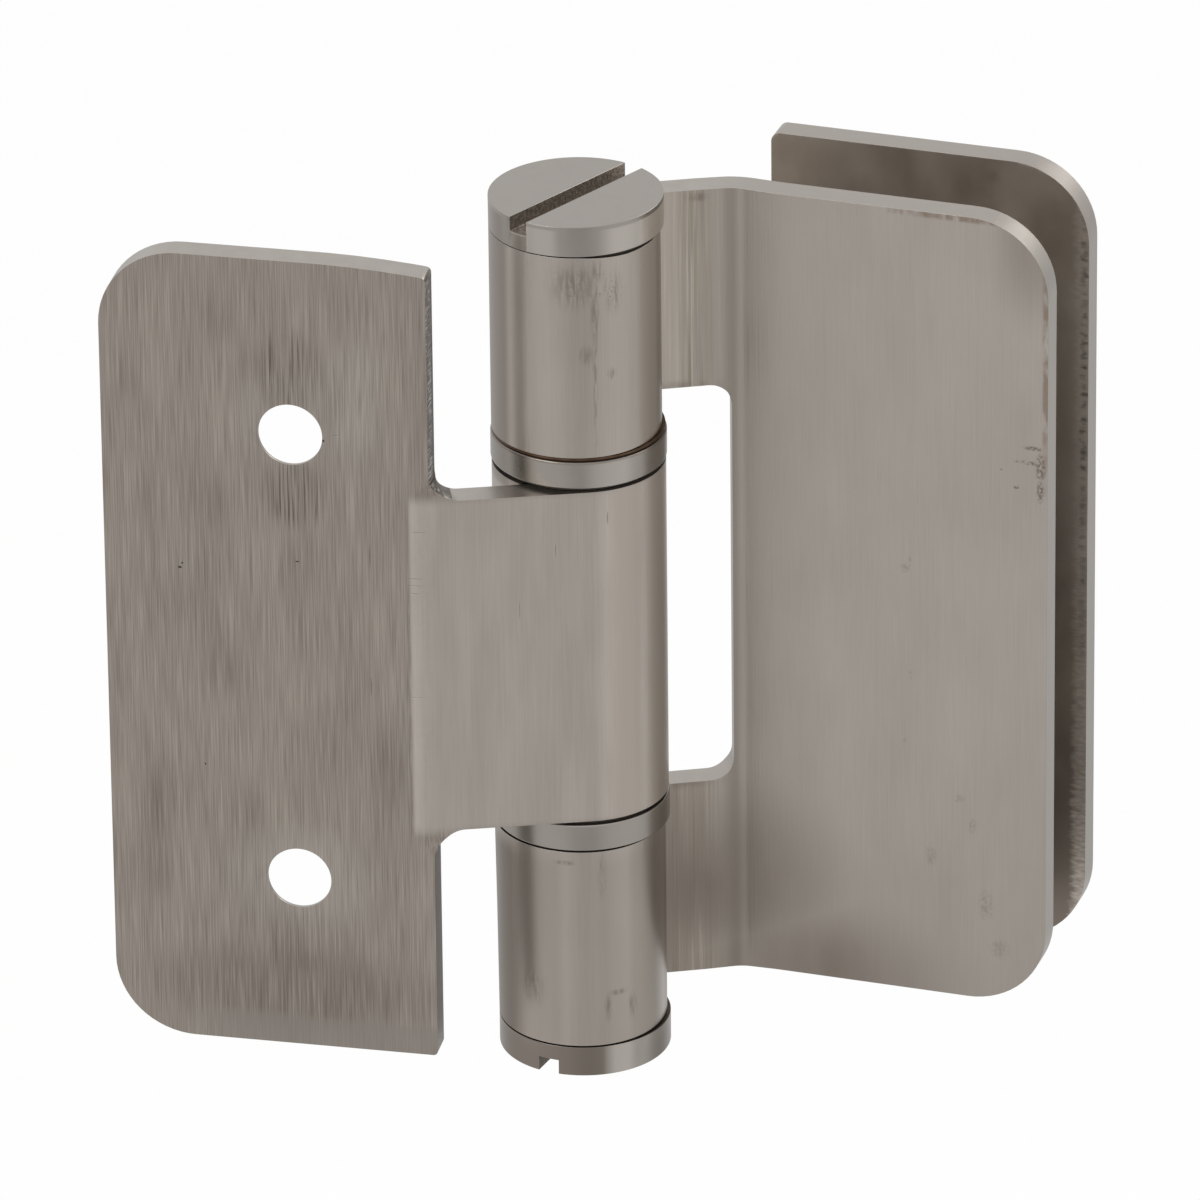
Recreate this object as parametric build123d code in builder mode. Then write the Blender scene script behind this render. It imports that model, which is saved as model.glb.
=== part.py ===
from build123d import *

import os
from math import acos, cos, degrees, radians, sin, tan

os.makedirs("parts", exist_ok=True)

# Millimetres. The origin is the middle of the wall leaf's two fixing holes, on the face that
# lies against the wall. +Z runs up along the pin, +Y away from the wall, +X to the glass.

# Folded sheet, common to both leaves
sheet = 3.0
leaf_height = 90.0
leaf_corner_radius = 8.5
knuckle_bore = 12.1
roll_seam_gap = 0.1

# Wall leaf
wall_plate_width = 34.5
wall_corner_inner = 0.5
wall_bend_angle = 19.0
wall_bend_radius = 3.0
pin_stand_off = 14.3
tongue_height = 37.8
tongue_root_radius = 2.8
wall_hole_diameter = 6.8
wall_countersink_diameter = 12.0
wall_hole_spacing = 51.0
wall_hole_from_edge = 20.0

# Glass leaf, in the position of the photograph
strap_angle = 21.7
strap_reach = 17.8
glass_bend_angle = 28.0
glass_bend_radius = 4.0
glass_plate_length = 33.7
window_corner_radius = 2.6
window_past_bend = 0.6

# Clamp plate and what holds it
glass_thickness = 10.0
gasket_thickness = 1.0
clamp_width = 34.6
clamp_inner_corner = 1.0
boss_diameter = 10.0
boss_from_end = 20.0
boss_from_edge = 17.0
sleeve_wall = 2.0
sleeve_clearance = 0.1
screw_diameter = 5.0
screw_head_diameter = 9.8
screw_head_rim = 0.2
screw_length = 12.0
screw_socket = 3.0
screw_socket_depth = 1.6
screw_hole_clearance = 0.25
screw_tip_clearance = 1.0
thread_clearance = 0.05

# Pin line
pin_diameter = 10.0
pin_running_clearance = 0.05
pin_chamfer = 0.6
thrust_ring_stand_out = 0.1
thrust_ring_height = 3.0
ring_chamfer = 0.2
slip_washer_set_back = 0.55
slip_washer_thickness = 0.4
slip_washer_clearance = 0.05
bronze_washer_set_back = 0.05
centre_bush_spacing = 7.8
outer_bush_set_back = 1.1
cap_height = 3.3
cap_chamfer = 0.25
cap_slot_width = 2.25
cap_slot_depth = 1.6
top_slot_angle = 60.4
bottom_slot_angle = 76.5
cap_stud_diameter = 6.0
cap_stud_length = 10.0
cap_stud_clearance = 4.0
cap_washer_thickness = 0.4
cap_washer_clearance = 0.05

# Sizes that follow from those above
bore_radius = knuckle_bore / 2
knuckle_radius = bore_radius + sheet
roll_radius = bore_radius + sheet / 2
roll_turn = 360 - degrees(acos((bore_radius - roll_seam_gap) / knuckle_radius))
knuckle_gap = thrust_ring_height + 2 * (slip_washer_thickness + slip_washer_clearance)
window_height = tongue_height + 2 * knuckle_gap
outer_knuckle_height = (leaf_height - window_height) / 2
cap_gap = cap_washer_thickness + cap_washer_clearance
cap_radius = knuckle_radius
boss_spacing = leaf_height - 2 * boss_from_end
clamp_gap = glass_thickness + 2 * gasket_thickness
pin_length = leaf_height + 2 * cap_gap
pin_hole_diameter = pin_diameter + 2 * pin_running_clearance


def turned(angle, length=1.0):
    """A vector of that length in plan, turned anticlockwise from +X."""
    return Vector(length * cos(radians(angle)), length * sin(radians(angle)), 0)


# Wall leaf in plan, measured from the pin axis: where its front face meets the tongue's,
# and the end of that bend, which is also the plate's inner edge.
bend_cosine = cos(radians(wall_bend_angle))
bend_sine = sin(radians(wall_bend_angle))
wall_front = -pin_stand_off
wall_bend_x = (knuckle_radius + wall_front * bend_cosine) / bend_sine
wall_bend_run = (wall_bend_radius + sheet) * tan(radians(wall_bend_angle / 2))
wall_inner_x = wall_bend_x + wall_bend_run * bend_cosine
wall_edge_x = wall_inner_x - wall_plate_width

# The pin axis, seen from the fixing holes, which share their mid-height with the leaves
pin_x = -wall_edge_x - wall_hole_from_edge
pin_y = pin_stand_off
pin_centre = Vector(pin_x, pin_y, 0)
pin_plane = Plane(origin=pin_centre)

# Glass leaf directions in plan
glass_angle = strap_angle - glass_bend_angle
strap_way = turned(strap_angle)
strap_back = turned(strap_angle + 90)
glass_way = turned(glass_angle)
glass_back = turned(glass_angle + 90)
glass_corner_shift = sheet / 2 * tan(radians(glass_bend_angle / 2))
glass_mid_corner = strap_way * (strap_reach + glass_corner_shift) + strap_back * roll_radius
glass_mid_end = glass_mid_corner + glass_way * (glass_plate_length + glass_corner_shift)
glass_edge = pin_centre + glass_mid_end + glass_back * (sheet / 2)
window_edge = strap_reach - glass_bend_radius * tan(radians(glass_bend_angle / 2)) + window_past_bend


def behind_glass_leaf(depth):
    """A plane facing back, that far behind the leaf. Its x runs from the free edge to the pin."""
    return Plane(origin=glass_edge + glass_back * depth, x_dir=-glass_way, z_dir=glass_back)


# Wall leaf: one sheet, folded once and rolled round the pin
with BuildPart() as wall_leaf:
    with BuildSketch(pin_plane.offset(-leaf_height / 2)):
        with BuildLine():
            tongue_start = turned(wall_bend_angle - 90, roll_radius)
            wall_mid_y = wall_front + sheet / 2
            mid_bend_x = (roll_radius + wall_mid_y * bend_cosine) / bend_sine
            FilletPolyline(
                (wall_edge_x, wall_mid_y),
                (mid_bend_x, wall_mid_y),
                (tongue_start.X, tongue_start.Y),
                radius=wall_bend_radius + sheet / 2,
            )
            CenterArc((0, 0), roll_radius, wall_bend_angle - 90, roll_turn)
        trace(line_width=sheet)
    extrude(amount=leaf_height)
    with BuildSketch(Plane.XZ.offset(-pin_y)) as wall_outline:
        with Locations((pin_x + wall_edge_x, 0)):
            Rectangle(wall_plate_width, leaf_height, align=(Align.MIN, Align.CENTER))
        with Locations((pin_x + knuckle_radius, 0)):
            tongue_reach = knuckle_radius - wall_inner_x
            Rectangle(tongue_reach, tongue_height, align=(Align.MAX, Align.CENTER))
        corners = wall_outline.vertices().group_by(Axis.X)
        inner_corners = corners[1].sort_by(Axis.Y)
        fillet(corners[0], leaf_corner_radius)
        fillet([inner_corners[0], inner_corners[-1]], wall_corner_inner)
        fillet(inner_corners[1:3], tongue_root_radius)
    extrude(amount=leaf_height, both=True, mode=Mode.INTERSECT)
    with Locations(Plane(origin=(0, sheet, 0), x_dir=(1, 0, 0), z_dir=(0, 1, 0))):
        with GridLocations(0, wall_hole_spacing, 1, 2):
            CounterSinkHole(wall_hole_diameter / 2, wall_countersink_diameter / 2, counter_sink_angle=90)
wall_leaf.part.label = "wall_leaf"
export_step(wall_leaf.part, "parts/wall_leaf.step")

# Glass leaf: one sheet with a window, so that its two straps roll into the outer knuckles
with BuildPart() as glass_leaf:
    with BuildSketch(pin_plane.offset(-leaf_height / 2)):
        with BuildLine():
            strap_start = strap_back * roll_radius
            FilletPolyline(
                (glass_mid_end.X, glass_mid_end.Y),
                (glass_mid_corner.X, glass_mid_corner.Y),
                (strap_start.X, strap_start.Y),
                radius=glass_bend_radius + sheet / 2,
            )
            CenterArc((0, 0), roll_radius, strap_angle + 90, roll_turn)
        trace(line_width=sheet)
    extrude(amount=leaf_height)
    with BuildSketch(behind_glass_leaf(0)) as glass_outline:
        Rectangle(leaf_height, leaf_height, align=(Align.MIN, Align.CENTER))
        fillet(glass_outline.vertices().group_by(Axis.X)[0], leaf_corner_radius)
    extrude(amount=leaf_height, both=True, mode=Mode.INTERSECT)
    with BuildSketch(Plane(origin=pin_centre, x_dir=strap_way, z_dir=-strap_back)) as window:
        with Locations((window_edge, 0)):
            Rectangle(leaf_height, window_height, align=(Align.MAX, Align.CENTER))
        fillet(window.vertices().group_by(Axis.X)[-1], window_corner_radius)
    extrude(amount=leaf_height, both=True, mode=Mode.SUBTRACT)
glass_leaf.part.label = "glass_leaf"
export_step(glass_leaf.part, "parts/glass_leaf.step")

# Clamp plate: flat, behind the glass, flush with the leaf's free edge
with BuildPart() as clamp_plate:
    with BuildSketch(behind_glass_leaf(clamp_gap)) as clamp_outline:
        Rectangle(clamp_width, leaf_height, align=(Align.MIN, Align.CENTER))
        clamp_corners = clamp_outline.vertices().group_by(Axis.X)
        fillet(clamp_corners[0], leaf_corner_radius)
        fillet(clamp_corners[-1], clamp_inner_corner)
    extrude(amount=sheet)
    with Locations(behind_glass_leaf(clamp_gap + sheet)):
        with Locations((boss_from_edge, 0)):
            with GridLocations(0, boss_spacing, 1, 2):
                CounterSinkHole(
                    screw_diameter / 2 + screw_hole_clearance,
                    screw_head_diameter / 2 + screw_hole_clearance,
                    counter_sink_angle=90,
                )
clamp_plate.part.label = "clamp_plate"
export_step(clamp_plate.part, "parts/clamp_plate.step")

# Threaded bosses welded to the leaf's back, and the plastic sleeves that ride on them
screw_tip = screw_length - sheet
for place, side in (("upper", 1), ("lower", -1)):
    spot = (boss_from_edge, side * boss_spacing / 2)
    with BuildPart() as boss:
        with BuildSketch(behind_glass_leaf(0)):
            with Locations(spot):
                Circle(boss_diameter / 2)
        extrude(amount=clamp_gap)
        with Locations(behind_glass_leaf(clamp_gap)):
            with Locations(spot):
                Hole(screw_diameter / 2 + thread_clearance, depth=screw_tip + screw_tip_clearance)
    boss.part.label = f"clamp_boss_{place}"
    export_step(boss.part, f"parts/{boss.part.label}.step")

    with BuildPart() as sleeve:
        with BuildSketch(behind_glass_leaf(gasket_thickness)):
            with Locations(spot):
                Circle(boss_diameter / 2 + sleeve_clearance + sleeve_wall)
                Circle(boss_diameter / 2 + sleeve_clearance, mode=Mode.SUBTRACT)
        extrude(amount=glass_thickness)
    sleeve.part.label = f"glass_sleeve_{place}"
    export_step(sleeve.part, f"parts/{sleeve.part.label}.step")

# Countersunk socket screws, both in one group
with BuildPart() as clamp_screws:
    with BuildSketch(behind_glass_leaf(clamp_gap + sheet)):
        with Locations((boss_from_edge, 0)):
            with GridLocations(0, boss_spacing, 1, 2):
                Circle(screw_head_diameter / 2)
    extrude(amount=-screw_head_rim)
    with BuildSketch(behind_glass_leaf(clamp_gap + sheet - screw_head_rim)):
        with Locations((boss_from_edge, 0)):
            with GridLocations(0, boss_spacing, 1, 2):
                Circle(screw_head_diameter / 2)
    extrude(amount=-(screw_head_diameter - screw_diameter) / 2, taper=45)
    with BuildSketch(behind_glass_leaf(clamp_gap + sheet - screw_length)):
        with Locations((boss_from_edge, 0)):
            with GridLocations(0, boss_spacing, 1, 2):
                Circle(screw_diameter / 2)
    extrude(amount=screw_length - screw_head_rim)
    with BuildSketch(behind_glass_leaf(clamp_gap + sheet)):
        with Locations((boss_from_edge, 0)):
            with GridLocations(0, boss_spacing, 1, 2):
                RegularPolygon(screw_socket / 2, 6, major_radius=False)
    extrude(amount=-screw_socket_depth, mode=Mode.SUBTRACT)
clamp_screws.part.label = "clamp_screws"
export_step(clamp_screws.part, "parts/clamp_screws.step")

# Hinge pin, tapped at both ends
with BuildPart() as hinge_pin:
    with BuildSketch(pin_plane.offset(-pin_length / 2)):
        Circle(pin_diameter / 2)
    extrude(amount=pin_length)
    chamfer(hinge_pin.edges().filter_by(GeomType.CIRCLE), pin_chamfer)
    for end in (1, -1):
        with Locations(Plane(origin=pin_centre + Vector(0, 0, end * pin_length / 2), z_dir=(0, 0, end))):
            Hole(cap_stud_diameter / 2 + thread_clearance, depth=cap_stud_length + cap_stud_clearance)
hinge_pin.part.label = "hinge_pin"
export_step(hinge_pin.part, "parts/hinge_pin.step")

# Slotted caps: a flat head with a screwdriver slot right across, on a threaded stud
for name, end, slot_angle in (("top_cap", 1, top_slot_angle), ("bottom_cap", -1, -bottom_slot_angle)):
    seat = Plane(origin=pin_centre + Vector(0, 0, end * pin_length / 2), x_dir=(1, 0, 0), z_dir=(0, 0, end))
    with BuildPart() as cap:
        with BuildSketch(seat):
            Circle(cap_radius)
        extrude(amount=cap_height)
        chamfer(cap.edges().filter_by(GeomType.CIRCLE), cap_chamfer)
        with BuildSketch(seat):
            Circle(cap_stud_diameter / 2)
        extrude(amount=-cap_stud_length)
        with BuildSketch(seat.offset(cap_height)):
            Rectangle(3 * cap_radius, cap_slot_width, rotation=slot_angle)
        extrude(amount=-cap_slot_depth, mode=Mode.SUBTRACT)
    cap.part.label = name
    export_step(cap.part, f"parts/{name}.step")

# Rings, washers and bushes on the pin: name, above (1) or below (-1) the leaves' mid-height,
# distance from it, length, outer radius, edge chamfer
ring_low = tongue_height / 2 + slip_washer_thickness + slip_washer_clearance
inner_washer_low = tongue_height / 2 + slip_washer_clearance
outer_washer_low = ring_low + thrust_ring_height
cap_washer_low = leaf_height / 2 + cap_washer_clearance
outer_bush_low = window_height / 2 + outer_bush_set_back
outer_bush_length = outer_knuckle_height - 2 * outer_bush_set_back
centre_bush_low = centre_bush_spacing / 2
centre_bush_length = tongue_height / 2 - centre_bush_low
thrust_ring_radius = knuckle_radius + thrust_ring_stand_out
slip_washer_radius = knuckle_radius - slip_washer_set_back
bronze_washer_radius = knuckle_radius - bronze_washer_set_back
rings = (
    ("upper_thrust_ring", 1, ring_low, thrust_ring_height, thrust_ring_radius, ring_chamfer),
    ("lower_thrust_ring", -1, ring_low, thrust_ring_height, thrust_ring_radius, ring_chamfer),
    ("upper_inner_washer", 1, inner_washer_low, slip_washer_thickness, slip_washer_radius, 0),
    ("lower_inner_washer", -1, inner_washer_low, slip_washer_thickness, slip_washer_radius, 0),
    ("upper_bronze_washer", 1, outer_washer_low, slip_washer_thickness, bronze_washer_radius, 0),
    ("lower_outer_washer", -1, outer_washer_low, slip_washer_thickness, slip_washer_radius, 0),
    ("top_cap_washer", 1, cap_washer_low, cap_washer_thickness, slip_washer_radius, 0),
    ("bottom_cap_washer", -1, cap_washer_low, cap_washer_thickness, slip_washer_radius, 0),
    ("centre_bush_upper", 1, centre_bush_low, centre_bush_length, bore_radius, 0),
    ("centre_bush_lower", -1, centre_bush_low, centre_bush_length, bore_radius, 0),
    ("knuckle_bush_upper", 1, outer_bush_low, outer_bush_length, bore_radius, 0),
    ("knuckle_bush_lower", -1, outer_bush_low, outer_bush_length, bore_radius, 0),
)
for name, end, distance, length, radius, edge in rings:
    seat = Plane(origin=pin_centre + Vector(0, 0, end * distance), x_dir=(1, 0, 0), z_dir=(0, 0, end))
    with BuildPart() as ring:
        with BuildSketch(seat):
            Circle(radius)
        extrude(amount=length)
        if edge:
            chamfer(ring.edges().filter_by(GeomType.CIRCLE), edge)
        with BuildSketch(seat):
            Circle(pin_hole_diameter / 2)
        extrude(amount=length, mode=Mode.SUBTRACT)
    ring.part.label = name
    export_step(ring.part, f"parts/{name}.step")
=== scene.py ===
from math import acos, cos, radians, sin, tan

import bmesh
import bpy
from mathutils import Matrix, Vector


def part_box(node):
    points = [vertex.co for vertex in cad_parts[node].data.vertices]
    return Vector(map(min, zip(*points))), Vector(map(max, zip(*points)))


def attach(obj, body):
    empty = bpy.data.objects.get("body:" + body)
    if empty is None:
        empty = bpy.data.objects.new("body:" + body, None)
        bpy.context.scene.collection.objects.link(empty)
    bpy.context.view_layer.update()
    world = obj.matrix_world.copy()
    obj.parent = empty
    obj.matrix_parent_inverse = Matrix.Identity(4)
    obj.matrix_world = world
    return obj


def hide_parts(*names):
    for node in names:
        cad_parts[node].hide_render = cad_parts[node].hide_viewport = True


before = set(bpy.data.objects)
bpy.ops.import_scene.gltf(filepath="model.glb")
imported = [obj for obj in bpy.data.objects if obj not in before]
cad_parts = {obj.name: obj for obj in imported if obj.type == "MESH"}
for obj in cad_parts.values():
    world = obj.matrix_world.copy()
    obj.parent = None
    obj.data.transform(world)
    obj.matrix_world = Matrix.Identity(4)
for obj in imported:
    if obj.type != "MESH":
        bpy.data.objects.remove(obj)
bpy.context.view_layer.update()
mm = 0.001

# Camera. The photograph was taken with a long lens from a little to the right and above.
# The view is given about the pin line, half way up the leaves.
pin_axis = Vector((27.283, 14.3, 0)) * mm
camera_turn = radians(12.065)
camera_rise = radians(25.548)
camera_roll = radians(-0.622)
camera_distance = 1386.39 * mm
camera_right = 2.004 * mm
camera_up = 2.135 * mm
camera_lens = 399.15
film_width = 36

level_right = Vector((cos(camera_turn), sin(camera_turn), 0))
level_back = Vector((sin(camera_turn), -cos(camera_turn), 0))
view_back = level_back * cos(camera_rise) + Vector((0, 0, sin(camera_rise)))
level_up = view_back.cross(level_right)
view_right = level_right * cos(camera_roll) + level_up * sin(camera_roll)
view_up = level_up * cos(camera_roll) - level_right * sin(camera_roll)
camera = bpy.data.objects.new("camera", bpy.data.cameras.new("camera"))
bpy.context.scene.collection.objects.link(camera)
camera.matrix_world = Matrix((view_right, view_up, view_back)).transposed().to_4x4()
camera.location = pin_axis + view_back * camera_distance + view_right * camera_right + view_up * camera_up
camera.data.lens = camera_lens
camera.data.sensor_width = film_width
camera.data.clip_start = 0.05
camera.data.clip_end = 20
bpy.context.scene.camera = camera
bpy.context.scene.view_settings.view_transform = "Standard"


# Light. A white room: plain white behind the object, paler above than at the sides, and two
# large soft lamps. The floor lies well below, because the hinge hangs on its wall screws.
class Wire:
    """A socket in a node tree. Arithmetic on it adds Math nodes, and node() adds any other."""

    def __init__(self, tree, socket=None):
        self.tree = tree
        self.socket = socket

    def node(self, kind, sockets=None, output=0, stops=None, **settings):
        made = self.tree.nodes.new("ShaderNode" + kind)
        for name, value in settings.items():
            setattr(made, name, value)
        for index, (position, colour) in enumerate(stops or ()):
            ramp = made.color_ramp.elements
            stop = ramp[index] if index < 2 else ramp.new(position)
            stop.position = position
            stop.color = colour
        for name, value in (sockets or {}).items():
            if isinstance(value, Wire):
                self.tree.links.new(value.socket, made.inputs[name])
            else:
                made.inputs[name].default_value = value
        return Wire(self.tree, made.outputs[output] if len(made.outputs) else None)

    def other(self, output):
        """Another output of the node that this one comes from."""
        return Wire(self.tree, self.socket.node.outputs[output])

    def maths(self, operation, *values):
        return self.node("Math", dict(enumerate(values)), operation=operation)

    def __add__(self, value):
        return self.maths("ADD", self, value)

    __radd__ = __add__

    def __sub__(self, value):
        return self.maths("SUBTRACT", self, value)

    def __rsub__(self, value):
        return self.maths("SUBTRACT", value, self)

    def __mul__(self, value):
        return self.maths("MULTIPLY", self, value)

    def size(self):
        return self.maths("ABSOLUTE", self)

    def larger(self, value):
        return self.maths("MAXIMUM", self, value)

    def rise(self, low, high):
        """0 at low and 1 at high, with a smooth rise between; low may be the larger."""
        sockets = {"Value": self, "From Min": low, "From Max": high}
        return self.node("MapRange", sockets, interpolation_type="SMOOTHSTEP")

    def along(self, direction):
        """How far this place or direction reaches along another direction."""
        return self.node("VectorMath", {0: self, 1: direction}, output="Value", operation="DOT_PRODUCT")

    def blend(self, first, second):
        """A colour between two others, by this factor."""
        return self.node("Mix", {0: self, 6: first, 7: second}, output=2, data_type="RGBA")


def grey(level):
    return level, level, level, 1


room_diffuse = 0.72
room_above = 1.0
# What bare metal mirrors below the horizon, by the angle round from the camera in degrees
room_bands = (
    (-180, 0.70), (-150, 0.76), (-118, 0.80), (-85, 0.98), (-55, 0.94), (-25, 0.90), (-5, 0.70),
    (14, 0.69), (35, 0.92), (65, 0.98), (92, 0.90), (122, 0.66), (150, 0.84), (180, 0.70),
)
world = bpy.data.worlds.new("white_room")
bpy.context.scene.world = world
world.use_nodes = True
world.node_tree.nodes.clear()
room = Wire(world.node_tree)
way = room.node("TexCoord", output="Generated")
way_height = room.node("SeparateXYZ", {0: way}, output="Z")
to_right = way.along(level_right)
to_camera = way.along(level_back)
turn_round = to_right.maths("ARCTAN2", to_right, to_camera) * (1 / radians(360)) + 0.5
stops = [(angle / 360 + 0.5, grey(level)) for angle, level in room_bands]
bands = room.node("ValToRGB", {0: turn_round}, stops=stops)
above = way_height.rise(-0.28, 0.22)
seen_in_metal = above.blend(bands, grey(room_above))
is_camera = room.node("LightPath", output="Is Camera Ray")
is_glossy = is_camera.other("Is Glossy Ray")
is_through = is_camera.other("Is Transmission Ray")
lit = is_glossy.blend(grey(room_diffuse), seen_in_metal)
room_light = is_camera.larger(is_through).blend(lit, grey(1))
backdrop = room.node("Background", {"Color": room_light, "Strength": 1.0})
room.node("OutputWorld", {"Surface": backdrop})


def soft_lamp(name, place, width, power):
    lamp = bpy.data.objects.new(name, bpy.data.lights.new(name, "AREA"))
    bpy.context.scene.collection.objects.link(lamp)
    lamp.location = place
    lamp.rotation_euler = (Vector(place) - pin_axis).to_track_quat("Z", "Y").to_euler()
    lamp.data.shape = "DISK"
    lamp.data.size = width
    lamp.data.energy = power


soft_lamp("key_lamp", (-0.45, -0.55, 0.75), 0.5, 3.0)
soft_lamp("fill_lamp", (0.60, 0.50, 0.60), 0.6, 2.5)

floor_drop = -0.22
floor_radius = 1.5
floor_colour = (0.86, 0.86, 0.85, 1)
floor_white = 0.94
floor_place = Matrix.Translation((0, 0, floor_drop))
bm = bmesh.new()
bmesh.ops.create_circle(bm, cap_ends=True, segments=96, radius=floor_radius, matrix=floor_place)
floor_mesh = bpy.data.meshes.new("floor")
bm.to_mesh(floor_mesh)
bm.free()
floor = bpy.data.objects.new("floor", floor_mesh)
bpy.context.scene.collection.objects.link(floor)
floor_finish = bpy.data.materials.new("pale_floor")
floor_finish.use_nodes = True
floor_finish.node_tree.nodes.clear()
ground = Wire(floor_finish.node_tree)
seen = ground.node("LightPath", output="Is Camera Ray")
matt = ground.node("BsdfDiffuse", {"Color": floor_colour})
white = ground.node("Emission", {"Color": grey(1), "Strength": 1.0})
floor_look = ground.node("MixShader", {0: seen * floor_white, 1: matt, 2: white})
ground.node("OutputMaterial", {"Surface": floor_look})
floor_mesh.materials.append(floor_finish)
floor.visible_glossy = False


# Wall leaf. One piece of 3 mm stainless sheet, brushed on the flat before it was bent: a plate
# with two punched holes, and a tongue that is bent back and rolled into the centre knuckle.
sheet = 3.0 * mm
bore_radius = 6.05 * mm
roll_radius = bore_radius + sheet / 2
knuckle_radius = bore_radius + sheet
seam_gap = 0.1 * mm
roll_turn = radians(360) - acos((bore_radius - seam_gap) / knuckle_radius)
half_height = 45.0 * mm
plate_corner = 8.5 * mm
small_corner = 0.5 * mm
cut_corner = 0.2 * mm
edge_round = 0.28 * mm
corner_steps = 16
edge_steps = 3
hole_segments = 72
slice_width = 3.0 * mm
slice_turn = radians(4.0)
wall_plate_width = 34.5 * mm
wall_bend = radians(19.0)
wall_bend_radius = 3.0 * mm + sheet / 2
wall_front = -14.3 * mm
tongue_half = 18.9 * mm
droop = 0.75 * mm
droop_from = 2.0 * mm
tongue_root = 2.8 * mm
wall_hole_radius = 3.4 * mm
wall_countersink = 2.6 * mm
wall_hole_in = 20.0 * mm
wall_holes = (25.5 * mm, -25.5 * mm)
flat_margin = 2.0 * mm


def raise_faces(bm, faces, rise, keep=False):
    """Extrudes faces by a vector and returns the new ones; keep leaves the old ones closed."""
    made = bmesh.ops.extrude_face_region(bm, geom=faces, use_keep_orig=keep)["geom"]
    moved = [item for item in made if isinstance(item, bmesh.types.BMVert)]
    bmesh.ops.translate(bm, verts=moved, vec=rise)
    return [item for item in made if isinstance(item, bmesh.types.BMFace)]


def cut_blank(corners, holes, thickness):
    """A flat closed blank with X along the sheet, Z up and its thickness in Y, about zero.
    Corners are (x, z, radius) in order round the outline, and holes are (x, z, radius)."""
    bm = bmesh.new()
    front = -thickness / 2
    bm.faces.new([bm.verts.new((x, front, z)) for x, z, radius in corners])
    for x, z, radius in corners:
        corner = min(bm.verts, key=lambda v: (v.co - Vector((x, front, z))).length)
        steps = 3 if radius < small_corner else corner_steps
        bmesh.ops.bevel(bm, geom=[corner], offset=radius, segments=steps, profile=0.5, affect="VERTICES",
                        material=-1)
    bmesh.ops.delete(bm, geom=bm.faces[:], context="FACES_ONLY")
    for x, z, radius in holes:
        place = Matrix.Translation((x, front, z)) @ Matrix.Rotation(radians(90), 4, "X")
        bmesh.ops.create_circle(bm, segments=hole_segments, radius=radius, matrix=place)
    bmesh.ops.triangle_fill(bm, edges=bm.edges[:], use_beauty=True, normal=(0, -1, 0))
    raise_faces(bm, bm.faces[:], (0, thickness, 0), keep=True)
    bmesh.ops.recalc_face_normals(bm, faces=bm.faces[:])
    return bm


def soften(bm, size):
    """Rounds every square edge, as tumbling and brushing do."""
    square = [edge for edge in bm.edges if edge.calc_face_angle(0) > radians(60)]
    bmesh.ops.bevel(bm, geom=square, offset=size, segments=edge_steps, profile=0.5, affect="EDGES",
                    clamp_overlap=True, material=-1)


def slice_across(bm, places, axis=0):
    """Cuts the blank right through at each place, so that it can bend there."""
    normal = Vector((0, 0, 0))
    normal[axis] = 1
    for place in places:
        everything = bm.verts[:] + bm.edges[:] + bm.faces[:]
        bmesh.ops.bisect_plane(bm, geom=everything, dist=1e-7, plane_co=normal * place, plane_no=normal)


def countersink(bm, x, z, radius, depth):
    """Widens a hole's back rim into a cone of 90 degrees."""
    rim = [edge for edge in bm.edges if all(
        v.co.y > 0 and abs((v.co - Vector((x, v.co.y, z))).length - radius) < 1e-6 for v in edge.verts)]
    bmesh.ops.bevel(bm, geom=rim, offset=depth, segments=1, profile=0.5, affect="EDGES",
                    clamp_overlap=False, material=-1)


def own_face(face, thickness):
    """Whether a face of the blank is one of the sheet's two flat faces."""
    return all(abs(abs(vert.co.y) - thickness / 2) < 0.001 * mm for vert in face.verts)


def spaced(start, end, step):
    """Evenly spaced numbers from start to end, about a step apart."""
    count = max(1, round((end - start) / step))
    return [start + (end - start) * i / count for i in range(count + 1)]


def fraction(value):
    """Keeps a number between 0 and 1."""
    return min(1.0, max(0.0, value))


class FoldLine:
    """The plan of a folded sheet's mid-line, as (length, turn) stretches that turn to the left."""

    def __init__(self, start, heading, stretches):
        self.parts = []
        travelled = 0.0
        place = Vector(start)
        for length, turn in stretches:
            self.parts.append((travelled, length, turn, place.copy(), heading))
            travelled += length
            place, heading = self.along(travelled)
        self.length = travelled

    def along(self, distance):
        """The place and heading at a distance along the sheet."""
        for travelled, length, turn, place, heading in self.parts:
            if distance <= travelled + length:
                break
        gone = distance - travelled
        if not turn:
            return place + Vector((cos(heading), sin(heading), 0)) * gone, heading
        radius = length / turn
        now = heading + gone / radius
        left = Vector((-sin(heading), cos(heading), 0))
        return place + (left - Vector((-sin(now), cos(now), 0))) * radius, now

    def slices(self):
        """Where to cut the flat blank: every few millimetres, and closer together in the bends."""
        places = []
        for travelled, length, turn, place, heading in self.parts:
            step = length * slice_turn / turn if turn else slice_width
            places += spaced(travelled, travelled + length, step)[:-1]
        return places[1:]

    def folded(self, flat):
        """Where a point of the flat blank goes when the sheet is folded."""
        place, heading = self.along(flat.x)
        place = place + Vector((-sin(heading), cos(heading), 0)) * flat.y
        return Vector((place.x, place.y, flat.z))


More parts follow.
